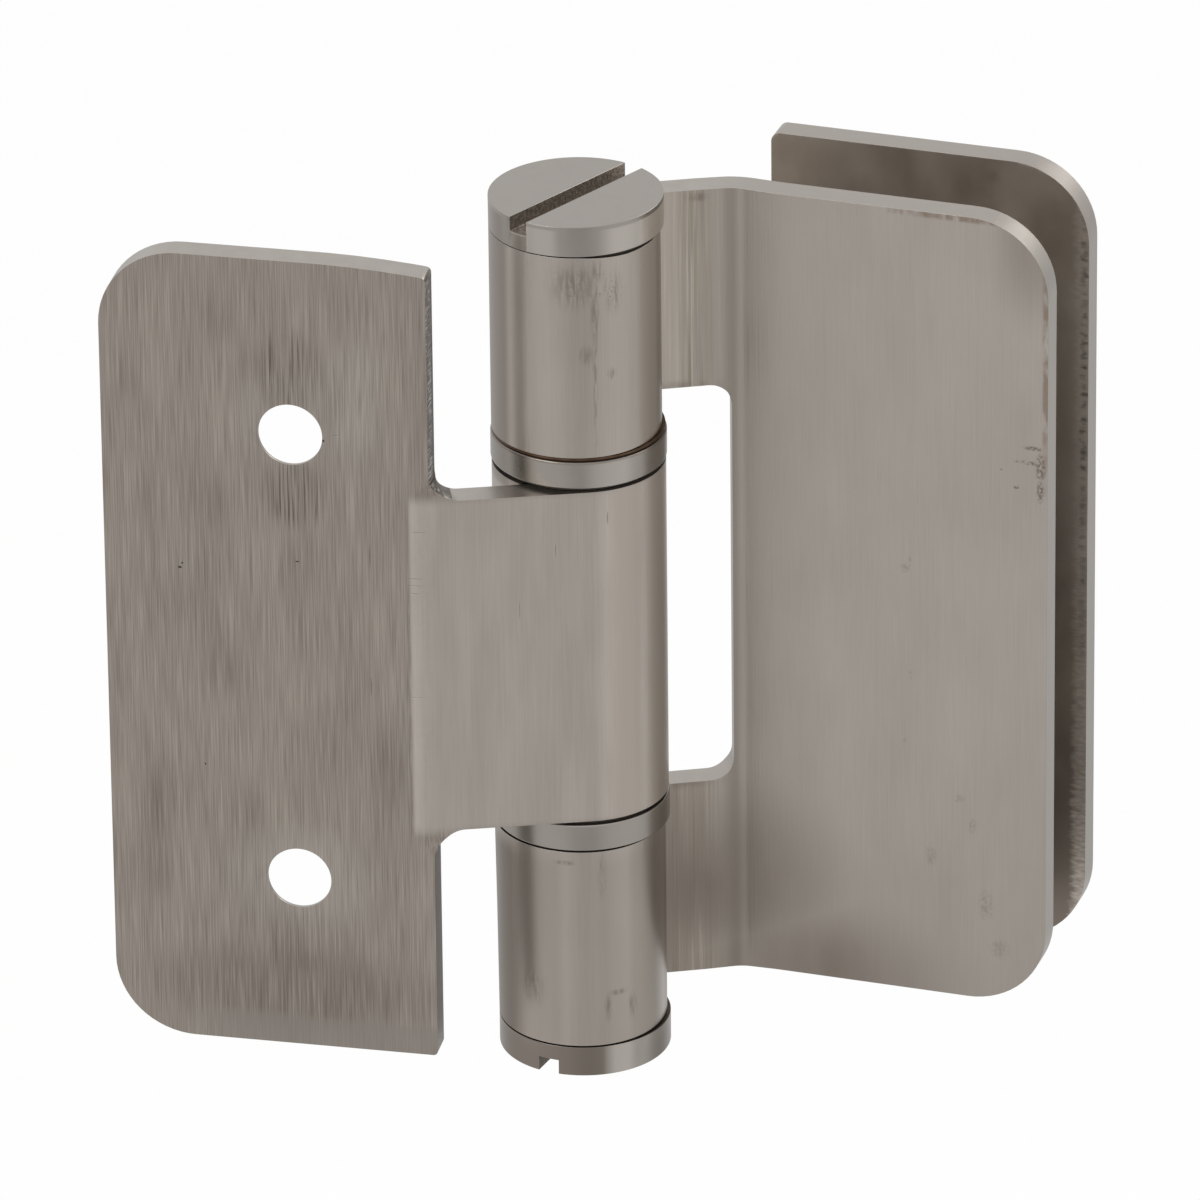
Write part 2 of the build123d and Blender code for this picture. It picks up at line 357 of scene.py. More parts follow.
def in_place(bm, name, body, nodes, finishes):
    """Turns a finished bmesh into a piece that rides on a body in place of those CAD nodes."""
    mesh = bpy.data.meshes.new(name)
    bm.to_mesh(mesh)
    bm.free()
    piece = bpy.data.objects.new(name, mesh)
    bpy.context.scene.collection.objects.link(piece)
    for finish in finishes:
        mesh.materials.append(finish)
    mesh.shade_smooth()
    mesh.set_sharp_from_angle(angle=radians(40))
    even = piece.modifiers.new("even_shading", "WEIGHTED_NORMAL")
    even.keep_sharp = True
    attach(piece, body)
    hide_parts(*nodes)


def new_finish(name):
    finish = bpy.data.materials.new(name)
    finish.use_nodes = True
    finish.node_tree.nodes.clear()
    return finish, Wire(finish.node_tree)


def close_finish(start, shade, roughness, height, metallic=1.0):
    """Ends a material; the height is in millimetres."""
    relief = start.node("Bump", {"Height": height, "Distance": mm, "Strength": 1.0}, output="Normal")
    sockets = {"Base Color": shade, "Roughness": roughness, "Metallic": metallic, "Normal": relief}
    start.node("OutputMaterial", {"Surface": start.node("BsdfPrincipled", sockets)})


def where(start):
    """The place on the object as three numbers in millimetres."""
    place = start.node("TexCoord", output="Object")
    place = start.node("VectorMath", {0: place, "Scale": 1 / mm}, operation="SCALE")
    x = start.node("SeparateXYZ", {0: place})
    return place, x, x.other("Y"), x.other("Z")


def grain(place, across, along, detail, shift=0.0):
    """Noise from -1 to 1 or so, drawn out along Z; across and along are in lines to a millimetre."""
    stretched = place.node("VectorMath", {0: place, 1: (across, across, along)}, operation="MULTIPLY")
    moved = place.node("VectorMath", {0: stretched, 1: (shift, shift, shift)}, operation="ADD")
    return (place.node("TexNoise", {"Vector": moved, "Scale": 1.0, "Detail": detail}) - 0.5) * 3


def patch(place, centre, reach, inner):
    """1 in the middle of an oval spot on the object and 0 outside it; centre and reach are in
    millimetres, and inner is the share of its reach where it starts to fade."""
    apart = place.node("VectorMath", {0: place, 1: centre}, operation="SUBTRACT")
    shrunk = place.node("VectorMath", {0: apart, 1: [1 / r for r in reach]}, operation="MULTIPLY")
    return place.node("VectorMath", {0: shrunk}, output="Value", operation="LENGTH").rise(1.0, inner)


def largest(masks):
    whole = masks[0]
    for mask in masks[1:]:
        whole = whole.larger(mask)
    return whole


def patches(place, inner, spots):
    """Many oval spots, each given as its centre and its reach."""
    return largest([patch(place, centre, reach, inner) for centre, reach in spots])


wall_light = (0.425, 0.380, 0.336, 1)
wall_dark = (0.175, 0.148, 0.124, 1)
wall_stain_and_shade = (0.110, 0.088, 0.070, 1)
wall_smooth = (0.262, 0.238, 0.216, 1)
tongue_light = (0.500, 0.458, 0.412, 1)
tongue_dark = (0.365, 0.322, 0.284, 1)
painted_highlight = (0.700, 0.650, 0.590, 1)
black_dirt = (0.030, 0.025, 0.022, 1)
rubbed_and_lit = (0.52, 0.49, 0.45, 1)
wall_finish, start = new_finish("brushed_wall_leaf")
place, x, y, z = where(start)
fine = grain(place, 8.5, 0.14, 3)
medium = grain(place, 2.6, 0.09, 3, 4)
broad = grain(place, 0.25, 0.06, 2, 9)
plate_shade = (0.5 + fine * 0.46 + medium * 0.15 + broad * 0.15).blend(wall_dark, wall_light)
# The face was rubbed brighter round each hole
rims = [((0.3, 0, 28.2), (9.0, 4, 7.0), 0.24), ((6.8, 0, 30.0), (3.8, 4, 9.0), 0.50),
        ((0.3, 0, -25.4), (10.5, 4, 7.6), 0.44)]
rim = largest([patch(place, centre, reach, 0.3) * strength for centre, reach, strength in rims])
plate_shade = (rim * grain(place, 5.5, 0.13, 3, 27).rise(-0.6, 0.8)).blend(plate_shade, rubbed_and_lit)
# Dark streaks that the belt dragged out of the punched holes
drags = [((-0.1, 0, 32.4), (4.4, 4, 6.2), 0.95), ((0.4, 0, 19.0), (4.4, 4, 5.0), 0.95),
         ((0.4, 0, -32.6), (6.5, 4, 5.0), 0.45)]
dragged = largest([patch(place, centre, reach, 0.45) * strength for centre, reach, strength in drags])
streaks = grain(place, 4.6, 0.10, 4, 21).rise(-0.25, 0.6)
plate_shade = (dragged * streaks).blend(plate_shade, wall_stain_and_shade)
brown = patches(place, 0.1, [
    ((-7.5, 0, -1.4), (3.0, 4, 6.5)), ((-7.8, 0, 17.1), (2.2, 4, 5.0)), ((5.2, 0, 30.1), (1.6, 4, 5.5)),
    ((9.6, 0, -12.9), (3.0, 4, 12.0)), ((-15.4, 0, -20.9), (3.0, 4, 14.0))])
plate_shade = (brown * grain(place, 4.2, 0.14, 3, 33).rise(-0.7, 0.8) * 0.40).blend(plate_shade, wall_stain_and_shade)
# The foot of the plate is browner, and its last few millimetres were rubbed smooth and grey
foot = patch(place, (-1.0, 0, -38.6), (21.0, 4, 6.8), 0.35) * grain(place, 4.6, 0.14, 4, 39).rise(-0.8, 0.6)
plate_shade = (foot * 0.50).blend(plate_shade, wall_stain_and_shade)
smooth_foot = (z + grain(place, 0.12, 0.1, 2, 38) * 0.8).rise(-41.2, -42.6) * x.rise(-13.0, -7.0)
plate_shade = (smooth_foot * 0.6).blend(plate_shade, wall_smooth)
# The tongue was bent and rolled after brushing, which smoothed its grain
tongue_grain = 0.5 + grain(place, 6.0, 0.10, 3, 14) * 0.20 + grain(place, 0.35, 0.07, 3, 30) * 0.30
tongue_shade = tongue_grain.blend(tongue_dark, tongue_light)
at_tongue = z.size().rise(19.9, 18.2)
on_tongue = x.rise(12.1, 12.7) * at_tongue
pressed = on_tongue * x.rise(15.4, 13.9) * (0.5 + grain(place, 1.6, 1.2, 3, 36) * 0.4)
shade = on_tongue.blend(plate_shade, tongue_shade)
shade = (pressed * 0.4).blend(shade, rubbed_and_lit)
press_line = (x - 12.2).size().rise(0.2, 0.0) * at_tongue * grain(place, 0.5, 0.35, 3, 44).rise(-0.5, 0.5)
shade = (press_line * 0.30).blend(shade, wall_stain_and_shade)
# Painted highlight on the knuckle's right flank, beside a painted darker band, and painted shade at the
# knuckle's upper left end
shade = (x.rise(31.4, 33.4) * x.rise(35.0, 34.3) * 0.75).blend(shade, tongue_dark)
shade = (x.rise(34.6, 35.6) * 0.55).blend(shade, painted_highlight)
shade = (z.rise(17.4, 18.2) * y.rise(7.0, 8.0) * x.rise(22.6, 21.0) * 0.42).blend(shade, wall_stain_and_shade)
scratch = patches(place, 0.5, [
    ((13.4, 0, 15.5), (1.0, 3, 0.06)), ((13.0, 0, 10.2), (1.1, 3, 0.06)), ((13.0, 0, 9.4), (1.1, 3, 0.06)),
    ((13.0, 0, 8.5), (1.0, 3, 0.05)), ((13.0, 0, -3.4), (0.9, 3, 0.05)), ((4.8, 0, 25.8), (0.6, 3, 0.05)),
    ((8.2, 0, 12.4), (0.07, 3, 1.6)), ((8.1, 0, -2.6), (0.09, 3, 1.3)), ((31.9, 6, 15.8), (0.08, 3, 0.9)),
    ((26.8, 4, 12.6), (0.06, 3, 1.2)), ((23.2, 3, 6.0), (0.05, 3, 1.6))])
shade = (scratch * 0.45).blend(shade, wall_stain_and_shade)
speck = patches(place, 0.4, [
    ((-12, 0, 9.4), (0.28, 2, 0.20)), ((-11.75, 0, 9.9), (0.16, 2, 0.16)), ((3.5, 0, 25.1), (0.20, 2, 0.22)),
    ((0.5, 0, 11.1), (0.3, 2, 0.12)), ((-9.8, 0, -13.1), (0.12, 2, 0.16))])
shade = (speck * 0.85).blend(shade, black_dirt)
rough = 0.41 - on_tongue * 0.07 + fine * 0.03
dent = (fine * 0.004 + medium * 0.004) * (1 - on_tongue * 0.6) - scratch * 0.02 - speck * 0.04
close_finish(start, shade, rough, dent)

edge_light = (0.412, 0.385, 0.352, 1)
edge_dark = (0.33, 0.30, 0.27, 1)
oil_film = (0.150, 0.090, 0.050, 1)
edge_finish, start = new_finish("rounded_sheet_edge")
place, x, y, z = where(start)
blotch = grain(place, 0.6, 0.6, 4, 3)
nick = grain(place, 2.2, 2.2, 3, 8).rise(0.75, 1.2)
shade = (0.55 + blotch * 0.3).blend(edge_dark, edge_light)
shade = (nick * 0.4).blend(shade, wall_stain_and_shade)
shade = (x.rise(37.0, 44.0) * 0.55).blend(shade, edge_dark)
# Painted light along the tongue's top edge under the upper ring
under_ring = (z - 18.9).size().rise(0.4, 0.2) * x.rise(19.0, 22.0) * x.rise(37.0, 36.6)
shade = (under_ring * 0.6).blend(shade, rubbed_and_lit)
film = z.rise(23.3, 23.0) * z.rise(22.6, 22.8) * x.rise(17.2, 17.6) * x.rise(37.0, 36.6)
close_finish(start, (film * 0.8).blend(shade, oil_film), 0.34 + blotch * 0.03, blotch * 0.006 - nick * 0.015)

# The sides of the slots in the blank were sheared. The shear left the upper one torn and streaky
torn_light = (0.95, 0.93, 0.90, 1)
torn_dark = (0.130, 0.108, 0.090, 1)
sheared_finish, start = new_finish("sheared_sheet_edge")
place, x, y, z = where(start)
slanted = start.node("CombineXYZ", {0: x * 0.4, 1: y * 0.7 + z * 1.2, 2: z * 4.0})
tears = (start.node("TexNoise", {"Vector": slanted, "Scale": 1.0, "Detail": 4.0}) - 0.5) * 3
worn_and_lit = tears.rise(-0.25, 0.45) * y.rise(2.6, 1.5) * grain(place, 0.3, 0.10, 2, 17).rise(-0.7, 0.3)
upper = z.rise(-3.0, 3.0)
worn_and_lit = worn_and_lit * upper + (1 - upper) * (0.14 + tears * 0.03)
close_finish(start, worn_and_lit.blend(torn_dark, torn_light), 0.36 + tears * 0.05, tears * upper * 0.03)

front_corner_x = (knuckle_radius + wall_front * cos(wall_bend)) / sin(wall_bend)
inner_edge_x = front_corner_x + (wall_bend_radius + sheet / 2) * tan(wall_bend / 2) * cos(wall_bend)
mid_corner = Vector(((roll_radius + (wall_front + sheet / 2) * cos(wall_bend)) / sin(wall_bend),
                     wall_front + sheet / 2, 0))
outer_edge_x = inner_edge_x - wall_plate_width
tongue_end = Vector((sin(wall_bend), -cos(wall_bend), 0)) * roll_radius
bend_run = wall_bend_radius * tan(wall_bend / 2)
wall_line = FoldLine(
    pin_axis + Vector((outer_edge_x, mid_corner.y, 0)),
    0.0,
    [(mid_corner.x - bend_run - outer_edge_x, 0),
     (wall_bend_radius * wall_bend, wall_bend),
     ((tongue_end - mid_corner).length - bend_run, 0),
     (roll_radius * roll_turn, roll_turn)],
)
wall_end = wall_line.length
bm = cut_blank(
    [(0, -half_height, plate_corner), (wall_plate_width, -half_height, small_corner),
     (wall_plate_width, -tongue_half, tongue_root), (wall_end, -tongue_half, cut_corner),
     (wall_end, tongue_half, cut_corner), (wall_plate_width, tongue_half, tongue_root),
     (wall_plate_width, half_height, small_corner), (0, half_height, plate_corner)],
    [(wall_hole_in, hole_z, wall_hole_radius) for hole_z in wall_holes],
    sheet,
)
for hole_z in wall_holes:
    countersink(bm, wall_hole_in, hole_z, wall_hole_radius, wall_countersink)
soften(bm, edge_round)
for face in bm.faces:
    centre = face.calc_center_median()
    inner_side = abs(centre.x - wall_plate_width) < 2 * tongue_root and face.normal.x > 0.3
    sheared = inner_side and abs(centre.z) < half_height - small_corner
    face.material_index = 0 if own_face(face, sheet) else 2 if sheared else 1
slice_across(bm, wall_line.slices())
# The tongue folds back, the plate beside it stays flat, and the plate's upper inner corner droops
for vert in bm.verts:
    straight = wall_line.parts[0][3] + vert.co
    beside_tongue = fraction((abs(vert.co.z) - tongue_half) / flat_margin)
    on_plate = fraction(1 - (vert.co.x - wall_plate_width) / (tongue_root / 2))
    vert.co = wall_line.folded(vert.co).lerp(straight, beside_tongue * on_plate)
    across = fraction((vert.co.x - droop_from) / (inner_edge_x + pin_axis.x - droop_from))
    vert.co.z -= droop * across ** 2 * max(0.0, 2 * vert.co.z / half_height - 1)
in_place(bm, "wall_leaf_sheet", "wall_side", ["wall_leaf"], [wall_finish, edge_finish, sheared_finish])


# Glass leaf. A second piece of the same sheet: a plate that lies against the glass, and two
# straps with a window between them, bent forward and rolled into the outer knuckles.
glass_bend = radians(28.0)
glass_bend_radius = 4.0 * mm + sheet / 2
strap_angle = radians(21.7)
strap_reach = 17.8 * mm
glass_plate_length = 33.7 * mm
window_half = 22.8 * mm
window_corner = 2.6 * mm
window_past_bend = 0.6 * mm
strap_spread = 0.005
ground_off = 0.40 * mm
end_growth = 0.34 * mm
low_end_growth = 0.255 * mm
roll_fade = 3.0 * mm
belly = 0.55 * mm
low_belly = 40.0 * mm

glass_angle = strap_angle - glass_bend
strap_way = Vector((cos(strap_angle), sin(strap_angle), 0))
strap_back = Vector((-sin(strap_angle), cos(strap_angle), 0))
glass_way = Vector((cos(glass_angle), sin(glass_angle), 0))
glass_back = Vector((-sin(glass_angle), cos(glass_angle), 0))
corner_shift = sheet / 2 * tan(glass_bend / 2)
bend_run = glass_bend_radius * tan(glass_bend / 2)
glass_corner = strap_way * (strap_reach + corner_shift) + strap_back * roll_radius
glass_end = glass_corner + glass_way * (glass_plate_length + corner_shift)
glass_reach = (pin_axis + glass_end).dot(glass_way)
glass_depth = (pin_axis + glass_end).dot(glass_back)

glass_light = (0.430, 0.392, 0.354, 1)
glass_dark = (0.318, 0.283, 0.249, 1)
strap_tint = (0.330, 0.282, 0.225, 1)
strap_bright = (0.560, 0.505, 0.440, 1)
strap_dark = (0.200, 0.165, 0.130, 1)
glass_stain_and_shade = (0.190, 0.160, 0.135, 1)
glass_finish, start = new_finish("satin_glass_leaf")
place, x, y, z = where(start)
fine = grain(place, 6.5, 0.12, 3, 40)
broad = grain(place, 0.16, 0.07, 4, 52)
shade = (0.55 + fine * 0.18 + broad * 0.22).blend(glass_dark, glass_light)
# Straps: yellowish streaks, and a dark foot beside the lower knuckle
near_pin = x.rise(41.1, 37.1) * y.rise(18.0, 22.5)
streaks = grain(place, 1.1, 0.05, 3, 60)
shade = (near_pin * (0.40 + streaks * 0.70)).blend(shade, strap_tint)
lines = grain(place, 3.4, 0.06, 4, 63)
shade = (near_pin * lines.rise(0.05, 0.75) * 0.75).blend(shade, strap_bright)
shade = (near_pin * lines.rise(-0.10, -0.75) * 0.55).blend(shade, strap_dark)
strap_foot = patches(place, 0.05, [
    ((40.6, 25.0, -34.9), (17.0, 14.0, 15.0)), ((49.6, 25.0, -44.9), (22.0, 14.0, 12.0))])
shade = (strap_foot * (0.78 + broad * 0.3)).blend(shade, glass_stain_and_shade)
# Painted shade along the bend's valley
valley = (x - 41.0).size().rise(1.1, 0.2) * y.rise(24.0, 25.6)
shade = (valley * 0.35).blend(shade, glass_stain_and_shade)
# The lower knuckle is darkened, with painted shade down its left side and less darkening in its middle
low_knuckle = z.rise(-21.4, -24.9) * x.rise(39.6, 29.6)
low_left = x.rise(23.2, 20.4) * 0.75 - x.rise(26.0, 27.5) * x.rise(31.5, 30.0) * 0.30
shade = (low_knuckle * (0.28 + low_left + fine * 0.1)).blend(shade, glass_stain_and_shade)
# Painted highlights on the knuckles' flanks, on the lower knuckle's right end with a painted darker band
# beside it, and on the upper strap by the window; painted shade down the upper knuckle's left side. The
# straps are darker along the window's edges
flank = x.rise(20.8, 21.8) * x.rise(24.6, 23.2) * 0.45
flank = flank + x.rise(34.0, 35.6) * 0.65
shade = (y.rise(14.0, 12.5) * flank * z.rise(-30.0, 0.0)).blend(shade, painted_highlight)
low_end = z.rise(-20.0, -24.0)
shade = (y.rise(14.5, 13.5) * x.rise(35.4, 36.2) * low_end * 0.4).blend(shade, painted_highlight)
shade = (x.rise(33.2, 34.0) * x.rise(35.9, 35.4) * low_end * 0.22).blend(shade, glass_stain_and_shade)
shade = (y.rise(14.5, 13.5) * x.rise(22.2, 20.8) * z.rise(0.0, 20.0) * 0.60).blend(shade, glass_stain_and_shade)
bright_edge = z.rise(20.0, 24.0) * x.rise(36.6, 35.6) * y.rise(21.0, 23.0)
shade = (bright_edge * 0.45).blend(shade, strap_bright)
beside_window = near_pin * z.size().rise(24.0, 23.0) * z.size().rise(22.4, 22.9)
shade = (beside_window * grain(place, 0.9, 0.4, 3, 64).rise(-0.6, 0.4) * 0.5).blend(shade, glass_stain_and_shade)
# A brown film along the front face's upper rim and free edge
from_edge = glass_reach / mm - place.along(glass_way)
at_rim = (from_edge.rise(0.75, 0.40) * z.rise(10.0, 25.0)).larger(x.rise(55.0, 62.0) * z.rise(44.2, 44.6))
behind = place.along(glass_back) - glass_depth / mm
at_rim = at_rim * behind.rise(0.5, -0.5) * grain(place, 1.2, 0.5, 4, 65).rise(-0.5, 0.3)
shade = (at_rim * 0.55).blend(shade, oil_film)
shade = (z.rise(-15.0, -38.0) * x.rise(42.0, 48.0) * 0.16).blend(shade, glass_stain_and_shade)
# Painted reflection: a darker sheen over the plate's upper free corner
corner_sheen = patch(place, (73.4, 23.0, 44.0), (5.5, 4.0, 13.0), 0.2)
shade = (corner_sheen * 0.42).blend(shade, glass_stain_and_shade)
# Rubbed smudges on the knuckles
smudge = patches(place, 0.1, [
    ((30.9, 6, 39.6), (0.60, 3, 6.8)), ((30.9, 6, 41.2), (1.3, 3, 0.8)),
    ((31.2, 6, 43.6), (1.0, 3, 2.0)),
    ((28.9, 5.4, 42.2), (3.6, 3, 3.6)), ((30.1, 5.7, 34.4), (1.1, 3, 1.5)),
    ((32.4, 6.8, 32.0), (0.6, 3, 0.9)), ((32.6, 7, 41.2), (1.4, 3, 3.2)),
    ((31.0, 6, -25.4), (0.55, 3, 3.4)), ((27.2, 5.3, -23.8), (1.8, 3, 0.4)),
    ((31.5, 6.3, -40.9), (0.5, 3, 2.2)), ((32.4, 6.8, -39.3), (1.3, 3, 0.5)),
    ((33.7, 8, -41.3), (0.5, 3, 2.0)), ((23.6, 6, -38.9), (2.0, 3, 3.0)), ((37.8, 25, 44.4), (1.6, 2, 0.8))])
rubbed_in = grain(place, 3.0, 0.45, 4, 66).rise(-0.45, 0.45)
smudge = smudge * rubbed_in.larger(grain(place, 5.0, 4.0, 3, 67).rise(0.0, 0.60))
drip = patch(place, (30.9, 6, 34.0), (0.36, 3, 15.0), 0.1) * grain(place, 3.0, 0.5, 4, 68).rise(-0.3, 0.4)
shade = (smudge.larger(drip * 0.8) * 0.72).blend(shade, glass_stain_and_shade)
# Dark scuffs beside the free edge, and small marks on the flat plate
scuff = patches(place, 0.4, [
    ((73.6, 23, 19.7), (1.4, 2, 0.34)), ((72.9, 23, 18.0), (1.8, 2, 0.30)), ((74.3, 23, 17.6), (0.7, 2, 2.1)),
    ((74.3, 23, 14.9), (0.5, 2, 1.7)), ((71.7, 23.2, 15.1), (0.45, 2, 0.30)),
    ((70.1, 23.4, 16.9), (0.16, 2, 0.16))])
scuff = scuff * grain(place, 3.4, 3.0, 4, 75).rise(-0.45, 0.35)
shade = (scuff * 0.75).blend(shade, wall_stain_and_shade)
mark = patches(place, 0.2, [
    ((60.2, 24.5, 5), (0.3, 2, 0.9)), ((59.6, 24.5, 4.1), (0.9, 2, 0.7)),
    ((60.3, 24.4, -8.2), (0.25, 2, 0.7)),
    ((59.7, 24.5, -15.8), (0.3, 2, 0.5)), ((65.7, 23.8, -22), (0.9, 2, 0.8)),
    ((67.1, 23.7, -24.9), (0.7, 2, 1.2)), ((70.1, 23.3, -38.9), (1.4, 2, 1.6)),
    ((68.6, 23.5, -33.9), (1.2, 2, 2.4)), ((62.6, 24.2, -28.9), (0.8, 2, 1.6))])
mark = mark * grain(place, 3.0, 2.2, 4, 73).rise(-0.5, 0.5)
shade = (mark * 0.45).blend(shade, glass_stain_and_shade)
pits = grain(place, 2.6, 2.6, 2, 77).rise(1.0, 1.25)
shade = (pits * 0.6).blend(shade, glass_stain_and_shade)
rough = 0.34 + fine * 0.025 + smudge * 0.05
close_finish(start, shade, rough, fine * 0.003 - pits * 0.012)

glass_line = FoldLine(
    pin_axis + glass_end,
    glass_angle + radians(180),
    [(glass_plate_length + corner_shift - bend_run, 0),
     (glass_bend_radius * glass_bend, glass_bend),
     (strap_reach + corner_shift - bend_run, 0),
     (roll_radius * roll_turn, roll_turn)],
)
strap_end = glass_line.length
window_side = glass_line.parts[2][0] - window_past_bend
roll_start = glass_line.parts[3][0]
strap_length = roll_start - window_side
strap_middle = window_side + strap_length / 2
bm = cut_blank(
    [(0, -half_height, plate_corner), (strap_end, -half_height, cut_corner),
     (strap_end, -window_half, cut_corner), (window_side, -window_half, window_corner),
     (window_side, window_half, window_corner), (strap_end, window_half, cut_corner),
     (strap_end, half_height, cut_corner), (0, half_height, plate_corner)],
    [],
    sheet,
)
soften(bm, edge_round)
for face in bm.faces:
    face.material_index = 0 if own_face(face, sheet) else 1
slice_across(bm, glass_line.slices())
# Rolling lengthened the knuckles at their ends, bulged the lower one and spread the straps a
# little, and the belt ground the knuckles' skin away at the right
for vert in bm.verts:
    along, through, height = vert.co
    vert.co = glass_line.folded(vert.co)
    out = (vert.co - pin_axis) / knuckle_radius
    at_roll = fraction((along - roll_start) / roll_fade)
    skin = (0.5 - through / sheet) * fraction((0.8 - out.y) / 0.5) * at_roll
    vert.co.x -= ground_off * skin * max(0.0, out.x) ** 2
    if height > window_half + sheet:
        vert.co.z += end_growth * at_roll * fraction((0.75 - out.x) / 0.5)
    elif height < 0:
        bulged = fraction((low_belly + height) / low_belly) * max(0.0, -out.x) ** 2
        vert.co.x -= belly * skin * bulged
        vert.co.z += low_end_growth * at_roll * (1 if height > -window_half - sheet else -1)
    spread = fraction(2 - 2 * abs(along - strap_middle) / (strap_length * 0.75))
    vert.co.z *= 1 + strap_spread * spread
in_place(bm, "glass_leaf_sheet", "glass_side", ["glass_leaf"], [glass_finish, edge_finish])


# Clamp plate. The flat plate behind the glass, cut from the same sheet, with two countersunk
# holes for its screws. Its inner face is unbrushed, with dark specks and painted shade lower down.
clamp_gap = 12.0 * mm
clamp_width = 34.6 * mm
clamp_inner_corner = 1.0 * mm
boss_in = 17.0 * mm
boss_height = 25.0 * mm
screw_hole = 2.75 * mm
clamp_countersink = 2.4 * mm

clamp_light = (0.580, 0.520, 0.460, 1)
clamp_dark = (0.370, 0.320, 0.270, 1)
clamp_worn = (0.740, 0.680, 0.610, 1)
clamp_finish, start = new_finish("unbrushed_clamp_plate")
place, x, y, z = where(start)
cloud = grain(place, 0.22, 0.16, 5, 71)
speck = grain(place, 2.4, 2.4, 4, 83).rise(0.55, 1.1)
shade = (0.55 + cloud * 0.4).blend(clamp_dark, clamp_light)
shade = (speck * 0.5).blend(shade, glass_stain_and_shade)
from_edge = glass_reach / mm - place.along(glass_way)
shade = (z.rise(-4.0, 6.0) * z.rise(36.0, 28.0) * 0.35).blend(shade, clamp_worn)
# Painted shade, deepening down the face behind the glass leaf
shade = (z.rise(8.0, -36.0) * 0.92).blend(shade, glass_stain_and_shade)
teeth = grain(place, 0.7, 2.0, 4, 86)
worn_and_lit = (from_edge + teeth * 0.6).rise(1.9, 0.9) * (0.50 + grain(place, 0.9, 2.8, 4, 88) * 0.45)
shade = worn_and_lit.blend(shade, clamp_worn)
black = (from_edge + teeth * 0.4 - 0.5).size().rise(0.5, 0.1) * grain(place, 0.4, 1.4, 3, 89).rise(-0.4, 0.6)
shade = (black * z.rise(-25.0, 20.0) * 0.7).blend(shade, black_dirt)
close_finish(start, shade, 0.42 + cloud * 0.05, cloud * 0.01 - speck * 0.01)

# The plate's outer face is seen in use, so it is brushed like the leaves
back_finish, start = new_finish("brushed_clamp_back")
place, x, y, z = where(start)
fine = grain(place, 7.0, 0.12, 3, 151)
broad = grain(place, 0.18, 0.07, 4, 157)
shade = (0.5 + fine * 0.25 + broad * 0.22).blend(glass_dark, glass_light)
pits = grain(place, 2.6, 2.6, 2, 163).rise(1.0, 1.25)
close_finish(start, (pits * 0.6).blend(shade, glass_stain_and_shade), 0.35 + fine * 0.03, fine * 0.003 - pits * 0.012)

bm = cut_blank(
    [(0, -half_height, plate_corner), (clamp_width, -half_height, clamp_inner_corner),
     (clamp_width, half_height, clamp_inner_corner), (0, half_height, plate_corner)],
    [(boss_in, boss_height, screw_hole), (boss_in, -boss_height, screw_hole)],
    sheet,
)
for hole_z in (boss_height, -boss_height):
    countersink(bm, boss_in, hole_z, screw_hole, clamp_countersink)
soften(bm, edge_round)
for face in bm.faces:
    outer_face = face.calc_center_median().y > 0
    face.material_index = 1 if not own_face(face, sheet) else 2 if outer_face else 0
slice_across(bm, spaced(0, clamp_width, slice_width)[1:-1])
clamp_start = pin_axis + glass_end + glass_back * (clamp_gap + sheet)
for vert in bm.verts:
    along, through, height = vert.co
    vert.co = clamp_start - glass_way * along + glass_back * through
    vert.co.z += height
bm.normal_update()
bmesh.ops.recalc_face_normals(bm, faces=bm.faces[:])
in_place(bm, "clamp_plate_sheet", "glass_side", ["clamp_plate"], [clamp_finish, edge_finish, back_finish])


# Thrust rings and the bronze washer. Turned stainless rings between the knuckles, which sit
# a little askew on the pin, and one thin bronze washer that shows above the upper ring.
pin_hole = 5.05 * mm
ring_edge = 0.2 * mm
ring_segments = 96
turned_light = (0.352, 0.328, 0.300, 1)
turned_dark = (0.275, 0.252, 0.227, 1)


def pin_turned(start, place, across, shift):
    """Noise whose lines run round the pin line, as a lathe tool leaves them."""
    out = start.node("VectorMath", {0: place, 1: pin_axis / mm}, operation="SUBTRACT")
    flat = start.node("VectorMath", {0: out, 1: (1, 1, 0)}, operation="MULTIPLY")
    radius = start.node("VectorMath", {0: flat}, output="Value", operation="LENGTH")
    height = start.node("SeparateXYZ", {0: out}, output="Z")
    lines = start.node("CombineXYZ", {0: radius * across, 1: shift, 2: height * across})
    wander = start.node("VectorMath", {0: flat, "Scale": 0.15}, operation="SCALE")
    moved = start.node("VectorMath", {0: lines, 1: wander}, operation="ADD")
    return (start.node("TexNoise", {"Vector": moved, "Scale": 1.0, "Detail": 3.0}) - 0.5) * 3


turned_finish, start = new_finish("turned_stainless")
place, x, y, z = where(start)
lathe = pin_turned(start, place, 9.0, 5.0)
blotch = grain(place, 0.5, 0.5, 4, 90)
shade = (0.50 + lathe * 0.05 + blotch * 0.14).blend(turned_dark, turned_light)
